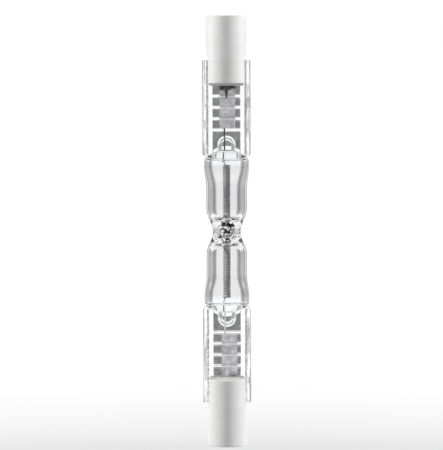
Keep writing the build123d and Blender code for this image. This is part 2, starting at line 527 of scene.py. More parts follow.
@dataclass(frozen=True)
class Finish:
    """A surface of two close tones with patches, grain and a fine relief."""

    name: str
    dark: Triple
    light: Triple
    roughness: Span
    metallic: float
    patch_scale: float
    grain_scale: float
    relief: float
    relief_height: float = 0.0001
    stretch: Triple = (1.0, 1.0, 1.0)

    def colour(self, patches: Wire) -> Wire:
        """Give the surface's colour from its patches."""
        return patches.blend(self.dark, self.light)

    def material(self) -> Material:
        """Make the finish's material on the object's own coordinates.

        Returns:
            The material.
        """
        material, sheet = NodeSheet.for_material(self.name)
        drawn = sheet.out("ShaderNodeMapping", {"Vector": sheet.place(), "Scale": self.stretch})
        marks = mottle(drawn, self.patch_scale, self.grain_scale)
        relief = {"Strength": self.relief, "Distance": self.relief_height, "Height": marks["Grain"]}
        look = {
            "Base Color": self.colour(marks["Patches"]),
            "Roughness": marks["Grain"].ramp(*NOISE_SPREAD, *self.roughness),
            "Metallic": self.metallic,
            "Normal": sheet.out("ShaderNodeBump", relief),
        }
        sheet.add("ShaderNodeOutputMaterial", {"Surface": sheet.out("ShaderNodeBsdfPrincipled", look)})
        return material


@dataclass(frozen=True)
class PanelPlan:
    """Where the pressed panels lie on each press seal, with distances from the middle of the lamp."""

    middle: float
    dome_top: float
    half_width: float = 0.00255
    face: float = 0.00125
    depth: float = 0.0002
    foot_drop: float = 0.001
    shade_and_frost_drop: float = 0.0002
    pocket_rise: float = 0.0022
    rib_rise: float = 0.00355
    rib_width: float = 0.0004
    pitch: float = 0.00204
    count: int = 5
    foot_bow: float = 0.0008
    bead_radius: float = 0.00132
    bead_width: float = 0.00066

    @property
    def foot(self) -> float:
        """Distance to the start of the first panel."""
        return self.dome_top - self.foot_drop

    @property
    def shade_and_frost_foot(self) -> float:
        """Distance to where the first panel's painted shade and frost start at its sides."""
        return self.dome_top - self.shade_and_frost_drop

    @property
    def pocket_end(self) -> float:
        """Distance to the end of the pocket inside the first panel."""
        return self.dome_top + self.pocket_rise

    @property
    def first_rib(self) -> float:
        """Distance to the middle of the first cross rib."""
        return self.dome_top + self.rib_rise


@dataclass(frozen=True)
class PaintedRibLine:
    """A line of painted highlight or painted shade across the foil beside each rib, by its height above the
    rib and its half width.
    """

    lift: float
    reach: float
    strength: float
    core: float = 0.4


@dataclass(frozen=True)
class FoilFinish(Finish):
    """Satin foil with painted shade near one end and lines of painted highlight and painted shade where the
    ribs cross it.
    """

    # Painted shade near the foil's end: its tone, where it starts along the lamp, its fade and the
    # unevenness of its edge.
    painted_shade_tone: Triple = (0.02, 0.02, 0.02)
    painted_shade_from: float = 1.0
    painted_shade_fade: float = 0.0005
    painted_shade_unevenness: float = 0.0004
    panels: PanelPlan | None = None
    # Lines of painted highlight and painted shade beside each rib.
    painted_highlight_line: PaintedRibLine = PaintedRibLine(-0.00005, 0.00015, 0.8)
    painted_shade_line: PaintedRibLine = PaintedRibLine(0.00019, 0.00011, 0.5)

    def painted_rib_line_mask(self, height: Wire, line: PaintedRibLine) -> Wire:
        """Find the lines of painted highlight or painted shade beside the ribs across the foil.

        Args:
            height: Height along the lamp.
            line: Where the line lies and how strong it is.

        Returns:
            A mask that is as strong as the line on its middle and fades out beside it.
        """
        above = height - self.panels.middle
        steps = (abs(above) - self.panels.first_rib) / self.panels.pitch + 0.5
        past_rib = (steps.math("FRACT") - 0.5) * self.panels.pitch
        away = abs(past_rib * above.math("SIGN") - line.lift)
        return away.ramp(line.core * line.reach, line.reach, line.strength, 0.0)

    def colour(self, patches: Wire) -> Wire:
        """Give the surface's colour, with the painted rib lines and the painted shade near the end.

        Args:
            patches: Soft patches of the surface.

        Returns:
            The colour.
        """
        height = patches.sheet.place().axes()[2]
        tone = super().colour(patches)
        # Painted shade line, then painted highlight line, beside each rib.
        tone = self.painted_rib_line_mask(height, self.painted_shade_line).blend(tone, self.painted_shade_tone)
        tone = self.painted_rib_line_mask(height, self.painted_highlight_line).blend(tone, WHITE)
        # Painted shade over the foil's end beyond the given height, with an uneven edge.
        uneven = patches * self.painted_shade_unevenness + height
        return uneven.ramp(self.painted_shade_from, self.painted_shade_from + self.painted_shade_fade).blend(tone, self.painted_shade_tone)


CERAMIC = Finish(
    "matt_ceramic", dark=(0.84, 0.838, 0.832), light=(0.88, 0.878, 0.874), roughness=(0.16, 0.28),
    metallic=0.0, patch_scale=420.0, grain_scale=9000.0, relief=0.06,
)
CEMENT = Finish(
    "rough_cement", dark=(0.8, 0.798, 0.79), light=(0.9, 0.898, 0.89), roughness=(0.75, 0.95),
    metallic=0.0, patch_scale=1500.0, grain_scale=7000.0, relief=0.5,
)
PLATING = Finish(
    "plated_contact", dark=(0.62, 0.6, 0.56), light=(0.74, 0.72, 0.68), roughness=(0.22, 0.38),
    metallic=1.0, patch_scale=900.0, grain_scale=16000.0, relief=0.08,
)
DRAWN_LEAD = Finish(
    "drawn_lead", dark=(0.8, 0.8, 0.81), light=(0.92, 0.92, 0.93), roughness=(0.22, 0.36),
    metallic=1.0, patch_scale=3000.0, grain_scale=9000.0, relief=0.15, stretch=(1.0, 1.0, 0.08),
)
# Painted shade: a darkened copy of the drawn lead, for the upper wires.
SHADED_LEAD_COPY = replace(
    DRAWN_LEAD, name="lead_painted_shade", dark=(0.02, 0.02, 0.02), light=(0.06, 0.06, 0.062),
    roughness=(0.3, 0.5), metallic=0.8,
)
# The foil's painted shade starts at a height that only the upper foil reaches.
FOIL = FoilFinish(
    "satin_foil", dark=(0.6, 0.6, 0.61), light=(0.92, 0.92, 0.93), roughness=(0.3, 0.48),
    metallic=1.0, patch_scale=900.0, grain_scale=5000.0, relief=0.4, painted_shade_from=0.0647,
)
COIL_METAL = Finish(
    "coil_wire", dark=(0.24, 0.24, 0.245), light=(0.36, 0.36, 0.37), roughness=(0.4, 0.6),
    metallic=0.6, patch_scale=2500.0, grain_scale=12000.0, relief=0.1,
)


@dataclass(frozen=True)
class GlassSpot:
    """A spot on the glass, measured from the lamp's axis and middle."""

    place: Wire
    across: Wire
    back: Wire
    up: Wire
    along: Wire

    @classmethod
    def on(cls, sheet: NodeSheet, middle: float) -> "GlassSpot":
        """Measure the spot in the object's own coordinates.

        Args:
            sheet: The material's tree.
            middle: Height of the lamp's middle.

        Returns:
            The spot.
        """
        place = sheet.place()
        x, y, z = place.axes()
        up = z - middle
        return cls(place, abs(x), y, up, abs(up))


@dataclass(frozen=True)
class QuartzFinish:
    """Clear quartz with painted shade and a faint frost in the pressed panels."""

    name: str
    panels: PanelPlan
    refraction: float = 1.458
    # Painted shade of the panels: a stippled light grey where a ray goes in, a dark grey where it comes
    # out.
    near_dark: Triple = (0.66, 0.66, 0.67)
    near_light: Triple = (0.95, 0.95, 0.96)
    far_painted_shade: Triple = (0.025, 0.025, 0.026)
    clear_tint: Triple = (0.99, 0.995, 1.0)
    lobe_tint: Triple = (0.9, 0.9, 0.905)
    lobe_reach: float = 0.0125
    lobe_fade: float = 0.0008
    patch_scale: float = 260.0
    grain_scale: float = 900.0
    ripple: float = 0.02
    ripple_height: float = 0.0002
    panel_cloud: Span = (0.96, 1.0)
    panel_edge: float = 0.00006
    panel_floor_reach: float = 0.00005
    panel_roughness: float = 0.12
    stipple_scale: float = 3200.0
    stipple_spread: Span = (0.35, 0.65)
    # Painted dark streaks along the rims, standing in for dark refractions.
    streak_from: float = 0.0033
    streak_scale: float = 2600.0
    streak_stretch: Triple = (1.0, 1.0, 0.12)
    streak_spread: Span = (0.5, 0.62)
    streak_depth: float = 0.6
    tip_front: float = 0.0032
    tip_melt: Span = (0.0008, 0.0026)
    crumple: float = 0.4
    # Painted dark specks round the tip's root, standing in for dark refractions.
    painted_speck_depth: float = 0.0031
    painted_speck_range: float = 0.001
    painted_speck_reach: float = 0.0019
    painted_speck_scale: float = 900.0
    painted_speck_spread: Span = (0.57, 0.6)

    def panel_mask(self, spot: GlassSpot) -> Wire:
        """Find the floors of the pressed panels, apart from the bead round the pocket.

        Args:
            spot: The spot that is looked at.

        Returns:
            A mask that is 1 on the panels' floors.
        """
        plan, edge = self.panels, self.panel_edge
        squared = spot.across * spot.across
        inside = spot.across.ramp(plan.half_width, plan.half_width - edge)
        off_floor = abs(abs(spot.back) - (plan.face - plan.depth))
        on_floor = off_floor.math("LESS_THAN", self.panel_floor_reach)
        bow_top = plan.shade_and_frost_foot + plan.foot_bow
        bowed = squared * (plan.foot_bow / plan.half_width**2) + spot.along
        started = bowed.ramp(bow_top, bow_top + edge)
        last_rib = plan.first_rib + plan.pitch * (plan.count - 1)
        ended = spot.along.ramp(last_rib, last_rib - edge)
        beyond = (spot.along - (plan.pocket_end - plan.bead_radius)).math("MAXIMUM", 0.0)
        off_ring = abs((beyond * beyond + squared).math("SQRT") - plan.bead_radius)
        off_bead = off_ring.ramp(plan.bead_width / 2.0, plan.bead_width / 2.0 + edge)
        return inside * on_floor * started * ended * off_bead

    def painted_rim_streaks(self, spot: GlassSpot) -> Wire:
        """Find the painted dark streaks along the thick edge rims, which stand in for dark refractions.

        Args:
            spot: The spot that is looked at.

        Returns:
            A mask that is largest in a streak.
        """
        beside = spot.across.math("GREATER_THAN", self.streak_from)
        on_seal = spot.along.math("GREATER_THAN", self.panels.foot)
        stretch = {"Vector": spot.place, "Scale": self.streak_stretch}
        drawn = spot.place.sheet.out("ShaderNodeMapping", stretch)
        streak = drawn.noise(self.streak_scale, detail=2.0).ramp(*self.streak_spread)
        return beside * on_seal * streak * self.streak_depth

    def tip_crumple(self, spot: GlassSpot, grain: Wire) -> Wire:
        """Make the uneven melt round the exhaust tip.

        Args:
            spot: The spot that is looked at.
            grain: Fine grain to shape the melt with.

        Returns:
            A height that is largest at the tip and fades out round it.
        """
        sheet = spot.place.sheet
        shift = {0: spot.place, 1: (0.0, self.tip_front, -self.panels.middle)}
        from_tip = sheet.out("ShaderNodeVectorMath", shift, operation="ADD")
        away = sheet.out("ShaderNodeVectorMath", {0: from_tip}, "Value", operation="LENGTH")
        return away.ramp(*self.tip_melt, self.crumple, 0.0) * grain

    def painted_tip_specks(self, spot: GlassSpot) -> Wire:
        """Find the painted dark specks round the exhaust tip's root, which stand in for dark refractions.

        Args:
            spot: The spot that is looked at.

        Returns:
            A mask that is 1 in a painted speck.
        """
        at_root = spot.back.math("COMPARE", -self.painted_speck_depth, self.painted_speck_range)
        from_tip = (spot.up * spot.up + spot.across * spot.across).math("SQRT")
        near = from_tip.math("LESS_THAN", self.painted_speck_reach)
        return at_root * near * spot.place.noise(self.painted_speck_scale, detail=1.5).ramp(*self.painted_speck_spread)

    def painted_panel_shade(self, spot: GlassSpot, rays: dict[str, Wire]) -> Wire:
        """Give the painted shade of the panels, light where a ray goes in and dark where it comes out
        unreflected.

        Args:
            spot: The spot that is looked at.
            rays: What is known of the ray.

        Returns:
            The colour.
        """
        stipple = spot.place.noise(self.stipple_scale, detail=2.0).ramp(*self.stipple_spread)
        near = stipple.blend(self.near_dark, self.near_light)
        direct = (rays["Diffuse Depth"] + rays["Glossy Depth"]).math("LESS_THAN", 0.5)
        leaving = spot.place.sheet.out("ShaderNodeNewGeometry", pick="Backfacing")
        return (direct * leaving).blend(near, self.far_painted_shade)

    def material(self) -> Material:
        """Make the quartz material, which lets soft light and shadows through.

        Returns:
            The material.
        """
        material, sheet = NodeSheet.for_material(self.name)
        spot = GlassSpot.on(sheet, self.panels.middle)
        rays = sheet.wires("ShaderNodeLightPath")
        marks = mottle(spot.place, self.patch_scale, self.grain_scale)
        panel = self.panel_mask(spot) * marks["Grain"].ramp(*NOISE_SPREAD, *self.panel_cloud)
        in_lobe = spot.along.ramp(self.lobe_reach, self.lobe_reach - self.lobe_fade)
        tone = in_lobe.blend(self.clear_tint, self.lobe_tint)
        # Painted dark specks at the tip and painted dark streaks on the rims.
        for mask in (self.painted_tip_specks(spot), self.painted_rim_streaks(spot)):
            tone = mask.blend(tone, BLACK)
        ripples = marks["Patches"] * self.ripple + self.tip_crumple(spot, marks["Grain"])
        relief = {"Strength": 1.0, "Distance": self.ripple_height, "Height": ripples}
        look = {
            # The panels' floors take the painted shade.
            "Base Color": panel.blend(tone, self.painted_panel_shade(spot, rays)),
            "Roughness": panel * self.panel_roughness,
            "IOR": self.refraction,
            "Alpha": 1.0 - rays["Is Shadow Ray"].math("MAXIMUM", rays["Is Diffuse Ray"]),
            "Transmission Weight": 1.0,
            "Normal": sheet.out("ShaderNodeBump", relief),
        }
        sheet.add("ShaderNodeOutputMaterial", {"Surface": sheet.out("ShaderNodeBsdfPrincipled", look)})
        return material


@dataclass
class Capsule:
    """The blown part of the envelope: two lobes, a waist between them and domed ends."""

    middle: float
    shoulder_radius: float
    waist_radius: float = 0.0025
    lobe_radius: float = 0.003675
    neck: float = 0.0042
    lobe: float = 0.0036
    flare: float = 0.0042
    shoulder: float = 0.0005
    dome: float = 0.0024
    throat_radius: float = 0.00095
    throat: float = 0.0022
    lobe_wall: float = 0.00095
    shoulder_wall: float = 0.00075
    dome_wall: float = 0.0018
    end_round: float = 0.0005
    end_sag: float = 0.0008
    melt_height: float = 0.00011
    melt_wave: float = 0.0008
    melt_reach: float = 0.0028
    melt_core: float = 0.4
    melt_bends: Span = (1.3, 1.1)
    melt_slows: Span = (0.6, 0.7)
    melt_rise: float = 0.9
    melt_phase: float = 0.7
    neck_steps: int = 56
    lobe_steps: int = 42
    dome_steps: int = 20
    segments: int = 128

    @property
    def half(self) -> float:
        """Distance from the middle to the top of a dome."""
        return self.neck + self.lobe + self.flare + self.shoulder + self.dome

    def flared(self, offset: float) -> float:
        """Give how far a lobe has opened to its shoulder at a distance from the middle, from 0 to 1."""
        return swell((offset - self.neck - self.lobe) / self.flare)

    def radius(self, offset: float) -> float:
        """Give the outer radius between the domes.

        Args:
            offset: Distance from the middle.

        Returns:
            The radius there.
        """
        if offset <= self.neck:
            return between(self.waist_radius, self.lobe_radius, swell(offset / self.neck))
        return between(self.lobe_radius, self.shoulder_radius, self.flared(offset))

    def hollow_radius(self, offset: float) -> float:
        """Give the cavity's radius between the domes, which narrows to a throat at the waist.

        Args:
            offset: Distance from the middle.

        Returns:
            The radius there.
        """
        if offset > self.neck:
            return self.radius(offset) - between(self.lobe_wall, self.shoulder_wall, self.flared(offset))
        share = min(1.0, (self.neck - offset) / (self.neck - self.throat))
        return between(self.throat_radius, self.lobe_radius - self.lobe_wall, math.sqrt(1.0 - share**2))

    def half_outline(self, hollow: bool) -> Outline:
        """Give radius and distance from the middle, from the waist to the top of a dome.

        Args:
            hollow: Whether the outline is that of the cavity, whose ends are flat and sag inwards.

        Returns:
            The outline's points in order.
        """
        measure = self.hollow_radius if hollow else self.radius
        height = self.end_round if hollow else self.dome
        top = self.half - (self.dome_wall if hollow else 0.0)
        side = top - height - self.neck
        offsets = [self.neck * k / self.neck_steps for k in range(self.neck_steps)]
        offsets += [self.neck + side * k / self.lobe_steps for k in range(self.lobe_steps)]
        points = [(measure(offset), offset) for offset in offsets]
        widest = self.hollow_radius(top - height) if hollow else self.shoulder_radius
        flat = widest - self.end_round if hollow else 0.0
        for k in range(self.dome_steps):
            turn = math.pi / 2.0 * k / self.dome_steps
            points.append((between(flat, widest, math.cos(turn)), top - height * (1.0 - math.sin(turn))))
        if hollow:
            shares = [1.0 - k / self.dome_steps for k in range(self.dome_steps)]
            points += [(flat * share, top - self.end_sag * swell(1.0 - share)) for share in shares]
        points.append((0.0, top - self.end_sag if hollow else top))
        return points

    def body(self, name: str, hollow: bool) -> Piece:
        """Turn the capsule's outer form, or its cavity as a cutter.

        Args:
            name: Name of the object.
            hollow: Whether the cavity is turned.

        Returns:
            The closed object.
        """
        half = self.half_outline(hollow)
        lower = [(radius, self.middle - offset) for radius, offset in half[:0:-1]]
        upper = [(radius, self.middle + offset) for radius, offset in half]
        body = lathe(name, lower + upper, self.segments)
        if not hollow:
            self.melt(body)
        return body

    def melt(self, body: Piece) -> None:
        """Make the front of the waist uneven, where the heat that sealed the exhaust tip softened it.

        Args:
            body: The capsule's outer form.
        """
        pace = 2.0 * math.pi / self.melt_wave
        core, rim = self.melt_core * self.melt_reach, (1.0 - self.melt_core) * self.melt_reach
        for vertex in body.data.vertices:
            x, y, z = vertex.co.x, vertex.co.y, vertex.co.z - self.middle
            fade = 1.0 - swell((math.hypot(x, z) - core) / rim)
            if y >= 0.0 or fade <= 0.0:
                continue
            # Two waves across each other, each bent by a slower one, so that no ridge runs straight.
            side_bend, rise_bend = self.melt_bends
            side_slow, rise_slow = self.melt_slows
            wave = math.sin(pace * x + side_bend * math.sin(side_slow * pace * z))
            bent = rise_bend * math.sin(rise_slow * pace * x)
            wave += math.sin(self.melt_rise * pace * z - bent + self.melt_phase)
            outward = Vector((x, y, 0.0)).normalized()
            vertex.co += outward * (self.melt_height * fade * wave)


@dataclass
class ExhaustTip:
    """The sealed-off tube stub on the front of the waist, drawn to a rounded and slightly uneven end."""

    middle: float
    reach: float = 0.00395
    foot: float = 0.0018
    foot_radius: float = 0.00185
    stem_radius: float = 0.0011
    root_fall: float = 0.00042
    end_height: float = 0.0007
    bore_start: float = 0.0005
    bore_straight: float = 0.0019
    bore_radius: float = 0.00042
    bore_end_radius: float = 0.00012
    bore_wall: float = 0.0009
    unevenness: float = 0.1
    uneven_waves: tuple[Wave, ...] = ((1.0, 2.0, 3.0, 0.6), (0.6, 3.0, -5.0, 0.0))
    stem_steps: int = 20
    end_steps: int = 14
    bore_steps: int = 8
    segments: int = 72
    bore_segments: int = 40

    def facing(self) -> Matrix:
        """Give the turn that lays a form made along Z out to the front of the waist."""
        return Matrix.Translation((0.0, 0.0, self.middle)) @ Matrix.Rotation(math.pi / 2.0, 4, "X")

    def stem(self, height: float) -> float:
        """Give the tip's radius.

        Args:
            height: Distance from the lamp's axis.

        Returns:
            The radius there.
        """
        flare = math.exp(-(height - self.foot) / self.root_fall)
        radius = between(self.stem_radius, self.foot_radius, flare)
        above = height - (self.reach - self.end_height)
        if above > 0.0:
            radius *= math.sqrt(max(0.0, 1.0 - (above / self.end_height) ** 2))
        return radius

    def body(self) -> Piece:
        """Build the tip's outer form.

        Returns:
            The closed object.
        """
        straight = self.reach - self.end_height - self.foot
        heights = [self.foot + straight * k / self.stem_steps for k in range(self.stem_steps)]
        turns = [math.pi / 2.0 * k / self.end_steps for k in range(self.end_steps + 1)]
        heights += [self.reach - self.end_height * (1.0 - math.sin(turn)) for turn in turns]
        rings = []
        for height in heights:
            ring = circle(self.stem(height), height, self.segments)
            share = (height - self.foot) / (self.reach - self.foot)
            for k, point in enumerate(ring):
                turn = 2.0 * math.pi * k / self.segments
                point.xy *= 1.0 + self.unevenness * share * ripple(self.uneven_waves, turn, share)
            rings.append(ring)
        tip = loft("exhaust_tip", rings)
        tip.data.transform(self.facing())
        return tip

    def bore(self) -> Piece:
        """Build the narrow bore that runs from the cavity into the tip.

        Returns:
            The bore, as a cutter.
        """
        top = self.reach - self.bore_wall
        outline = [(0.0, self.bore_start), (self.bore_radius, self.bore_start)]
        for k in range(self.bore_steps + 1):
            share = k / self.bore_steps
            radius = between(self.bore_radius, self.bore_end_radius, swell(share))
            outline.append((radius, between(self.bore_straight, top, share)))
        outline.append((0.0, top + self.bore_end_radius / 2.0))
        bore = lathe("tip_bore", outline, self.bore_segments)
        bore.data.transform(self.facing())
        return bore


def press_die_tree() -> Tree:
    """Make the tree that repeats the panel dies along both faces of a seal, or give the one made before.

    Returns:
        The geometry tree.
    """
    name = "press_die_rows"
    if name in bpy.data.node_groups:
        return bpy.data.node_groups[name]
    numbers = ("Width", "Depth", "Length", "Pitch", "First", "Face", "Root Length", "Root Middle")
    sheet = geometry_tree(name, numbers, "Count")
    given = sheet.wires("NodeGroupInput")
    through = given["Depth"] * 2.0
    front_face = given["Face"] * -1.0
    sizes = [sheet.vector(given["Width"], through, given[length]) for length in ("Length", "Root Length")]
    die, root_die = [sheet.out("GeometryNodeMeshCube", {"Size": size}) for size in sizes]
    row = sheet.out("GeometryNodeMeshLine", {
        "Count": given["Count"],
        "Start Location": sheet.vector(y=front_face, z=given["First"]),
        "Offset": sheet.vector(z=given["Pitch"]),
    })
    dies = sheet.out("GeometryNodeInstanceOnPoints", {"Points": row, "Instance": die})
    root_place = sheet.vector(y=front_face, z=given["Root Middle"])
    root = sheet.out("GeometryNodeTransform", {"Geometry": root_die, "Translation": root_place})
    front = sheet.join(dies, root)
    back = sheet.out("GeometryNodeTransform", {"Geometry": front, "Rotation": (0.0, 0.0, math.pi)})
    close_tree(sheet, sheet.join(front, back), given["Material"])
    return sheet.tree


@dataclass
class PressSeal:
    """A flat pressed end of the envelope with thick edge rims, ribs and panels."""

    end: End
    panels: PanelPlan
    tip: float
    width: float
    root_drop: float = 0.0014
    root_corner: float = 0.0008
    end_corner: float = 0.0003
    inset_slope: float = 500.0
    rim_width: float = 0.0009
    rim_height: float = 0.00055
    rim_flat: float = 0.0002
    rim_fillet: float = 0.00015
    rim_wave: float = 0.00004
    rim_paces: Triple = (2900.0, 4700.0, 7900.0)
    rim_phase: float = 1.9
    pocket_start: float = 0.0122
    pocket_width: float = 0.0032
    pocket_thickness: float = 0.0015
    pocket_squareness: float = 0.6
    pocket_fullness: float = 0.4
    die_round: float = 0.00012
    rows: int = 80
    root_steps: int = 8
    end_steps: int = 5
    rim_steps: int = 8
    fillet_steps: int = 5
    pocket_steps: int = 16
    pocket_segments: int = 48
    die_steps: int = 4

    @property
    def root(self) -> float:
        """Distance from the middle to the start of the seal, inside the dome."""
        return self.panels.dome_top - self.root_drop

    def height(self, offset: float) -> float:
        """Give the height of a place at a distance from the middle, on this end's side."""
        return self.panels.middle + self.end.value * offset

    def section(self, offset: float) -> Outline:
        """Give the seal's section across the lamp, all the way round.

        Args:
            offset: Distance from the middle.

        Returns:
            The section's points in order.
        """
        edge = (self.rim_width - self.rim_flat) / 2.0
        outer, face = self.width / 2.0, self.panels.face
        section = []
        for turn, sides in enumerate(((1, 1), (-1, 1), (-1, -1), (1, -1))):
            waves = [math.sin(pace * offset + self.rim_phase * turn + pace) for pace in self.rim_paces]
            uneven = self.rim_wave * sum(waves) / 2.0
            inner = outer - self.rim_width - uneven
            top = face + self.rim_height + uneven / 2.0
            quarter = rounded_corner((outer - edge, top - edge), edge, 0.0, self.rim_steps)
            quarter += rounded_corner((inner + edge, top - edge), edge, 90.0, self.rim_steps)
            foot = (inner - self.rim_fillet, face + self.rim_fillet)
            quarter += rounded_corner(foot, self.rim_fillet, 270.0, self.fillet_steps)[::-1]
            placed = [(x * sides[0], y * sides[1]) for x, y in quarter]
            section += placed if turn % 2 == 0 else placed[::-1]
        return section

    def corner_inset(self, offset: float) -> float:
        """Give how far the seal's edges are drawn in by the rounds at its corners.

        Args:
            offset: Distance from the middle.

        Returns:
            The inset there, which is 0 between the rounds.
        """
        corners = ((self.root_corner, offset - self.root), (self.end_corner, self.tip - offset))
        for radius, distance in corners:
            if distance < radius:
                return radius - math.sqrt(max(0.0, radius**2 - (radius - distance) ** 2))
        return 0.0

    def blank(self) -> Piece:
        """Build the seal before its panels are pressed in.

        Returns:
            The closed object.
        """
        first, last = self.root + self.root_corner, self.tip - self.end_corner
        offsets = [self.root + self.root_corner * k / self.root_steps for k in range(self.root_steps)]
        offsets += [first + (last - first) * k / self.rows for k in range(self.rows)]
        shares = [k / self.end_steps for k in range(self.end_steps + 1)]
        offsets += [self.tip - self.end_corner * (1.0 - share) for share in shares]
        rings = []
        for offset in offsets:
            ring = [Vector((x, y, self.height(offset))) for x, y in self.section(offset)]
            inset = self.corner_inset(offset)
            for point in ring:
                point.x -= math.copysign(inset, point.x) * min(1.0, abs(point.x) * self.inset_slope)
            rings.append(ring)
        return loft(self.end.node("press_blank"), rings)

    def pocket(self) -> Piece:
        """Build the flat pocket that runs from the cavity into the seal's root.

        Returns:
            The pocket, as a cutter.
        """
        half_width = self.pocket_width / 2.0
        half_thickness = self.pocket_thickness / 2.0
        straight_end = self.panels.pocket_end - half_width
        offsets = [(self.pocket_start, 1.0)]
        for k in range(self.pocket_steps + 1):
            turn = math.pi / 2.0 * k / self.pocket_steps
            offsets.append((straight_end + half_width * math.sin(turn), math.cos(turn)))
        rings = []
        for offset, share in offsets:
            ring = circle(1.0, self.height(offset), self.pocket_segments)
            for point in ring:
                x, y = (math.copysign(abs(side) ** self.pocket_squareness, side) for side in point.xy)
                point.xy = (x * half_width * share, y * half_thickness * share**self.pocket_fullness)
            rings.append(ring)
        return loft(self.end.node("pocket"), rings)

    def dies(self) -> Piece:
        """Build the dies that press the panels in, with rounded edges.

        Returns:
            The dies, as a cutter.
        """
        plan = self.panels
        root_top = plan.first_rib - plan.rib_width / 2.0
        cutter = link_mesh(self.end.node("press_dies"))
        run_tree(cutter, press_die_tree(), {
            "Width": 2.0 * plan.half_width,
            "Depth": plan.depth,
            "Length": plan.pitch - plan.rib_width,
            "Pitch": self.end.value * plan.pitch,
            "Count": plan.count - 1,
            "First": self.height(plan.first_rib + plan.pitch / 2.0),
            "Face": plan.face,
            "Root Length": root_top - plan.foot,
            "Root Middle": self.height((root_top + plan.foot) / 2.0),
        })
        rounding = cutter.modifiers.new("rounding", "BEVEL")
        rounding.width = self.die_round
        rounding.segments = self.die_steps
        plain_mesh(cutter)
        return cutter


@dataclass
class QuartzEnvelope:
    """The whole glass envelope: capsule, exhaust tip and both press seals in one piece."""

    capsule: Capsule
    exhaust: ExhaustTip
    seals: list[PressSeal]
    panels: PanelPlan
    crisp_angle: float = 30.0

    @classmethod
    def from_frame(cls) -> "QuartzEnvelope":
        """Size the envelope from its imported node.

        Returns:
            The envelope.
        """
        low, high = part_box("quartz_envelope")
        middle = (low.z + high.z) / 2.0
        capsule = Capsule(middle, shoulder_radius=high.y)
        panels = PanelPlan(middle, dome_top=capsule.half)
        tip, width = (high.z - low.z) / 2.0, high.x - low.x
        return cls(capsule, ExhaustTip(middle), [PressSeal(end, panels, tip, width) for end in End], panels)

    def build(self) -> Piece:
        """Build the envelope as one closed mesh.

        Returns:
            The glass.
        """
        glass = self.capsule.body("clear_quartz_envelope", hollow=False)
        for seal in self.seals:
            carve(glass, seal.blank(), Carve.JOIN)
        carve(glass, self.exhaust.body(), Carve.JOIN)
        for seal in self.seals:
            carve(glass, seal.dies(), Carve.CUT)
        carve(glass, self.capsule.body("capsule_cavity", hollow=True), Carve.CUT)
        for seal in self.seals:
            carve(glass, seal.pocket(), Carve.CUT)
        carve(glass, self.exhaust.bore(), Carve.CUT)
        merge_doubles(glass)
        smooth(glass, self.crisp_angle)
        return glass

    def dress(self) -> None:
        """Build the envelope and give it its quartz finish."""
        finish = QuartzFinish("clear_quartz", self.panels)
        hand_over(self.build(), finish.material(), "quartz", "quartz_envelope")


@dataclass
class Filament:
    """The coil on the axis of the capsule, with a straight tail at each end."""

    coil_radius: float = 0.0006
    wire_radius: float = 0.0001
    wire_sides: int = 8
    pitch: float = 0.00029
    tail: float = 0.00092
    easing: float = 0.006
    steps_a_turn: int = 24
    crisp_angle: float = 60.0

    def tree(self) -> Tree:
        """Make the tree that winds the wire along its path.

        Returns:
            The geometry tree.
        """
        numbers = (
            "Foot", "Length", "Coil Foot", "Coil Height", "Turn", "Start Angle",
            "Coil Radius", "Tail Radius", "Easing", "Wire Radius",
        )
        sheet = geometry_tree("wound_coil", numbers, "Steps")
        given = sheet.wires("NodeGroupInput")
        top = given["Foot"] + given["Length"]
        ends = {"Start": sheet.vector(z=given["Foot"]), "End": sheet.vector(z=top)}
        line = sheet.out("GeometryNodeCurvePrimitiveLine", ends)
        path = sheet.out("GeometryNodeResampleCurve", {"Curve": line, "Count": given["Steps"]})
        share = sheet.out("GeometryNodeSplineParameter", pick="Factor")
        height = share * given["Length"] + given["Foot"]
        wound = (height - given["Coil Foot"]).math("DIVIDE", given["Coil Height"], clamp=True)
        angle = wound * given["Turn"] + given["Start Angle"]
        eased = wound.math("MINIMUM", 1.0 - wound).math("DIVIDE", given["Easing"], clamp=True)
        radius = eased.choose(given["Tail Radius"], given["Coil Radius"])
        place = sheet.vector(radius * angle.math("COSINE"), radius * angle.math("SINE"), height)
        moved = sheet.out("GeometryNodeSetPosition", {"Geometry": path, "Position": place})
        section = {"Resolution": self.wire_sides, "Radius": given["Wire Radius"]}
        profile = sheet.out("GeometryNodeCurvePrimitiveCircle", section)
        sweep = {"Curve": moved, "Profile Curve": profile, "Fill Caps": True}
        close_tree(sheet, sheet.out("GeometryNodeCurveToMesh", sweep), given["Material"])
        return sheet.tree

    def dress(self) -> None:
        """Wind the coil between its leads and give it its finish."""
        low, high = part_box("filament")
        lead_low, lead_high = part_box("upper_inner_lead")
        lead = (lead_low + lead_high) / 2.0
        coil_height = high.z - low.z - 2.0 * self.tail
        turns = round(coil_height / self.pitch)
        material = COIL_METAL.material()
        coil = link_mesh("wound_filament")
        run_tree(coil, self.tree(), {
            "Foot": low.z,
            "Length": high.z - low.z,
            "Coil Foot": low.z + self.tail,
            "Coil Height": coil_height,
            "Turn": 2.0 * math.pi * turns,
            "Start Angle": math.atan2(lead.y, lead.x),
            "Coil Radius": self.coil_radius,
            "Tail Radius": math.hypot(lead.x, lead.y),
            "Easing": self.easing,
            "Wire Radius": self.wire_radius,
            "Steps": turns * self.steps_a_turn,
            "Material": material,
        })
        plain_mesh(coil)
        smooth(coil, self.crisp_angle)
        hand_over(coil, material, "filament_wire", "filament")


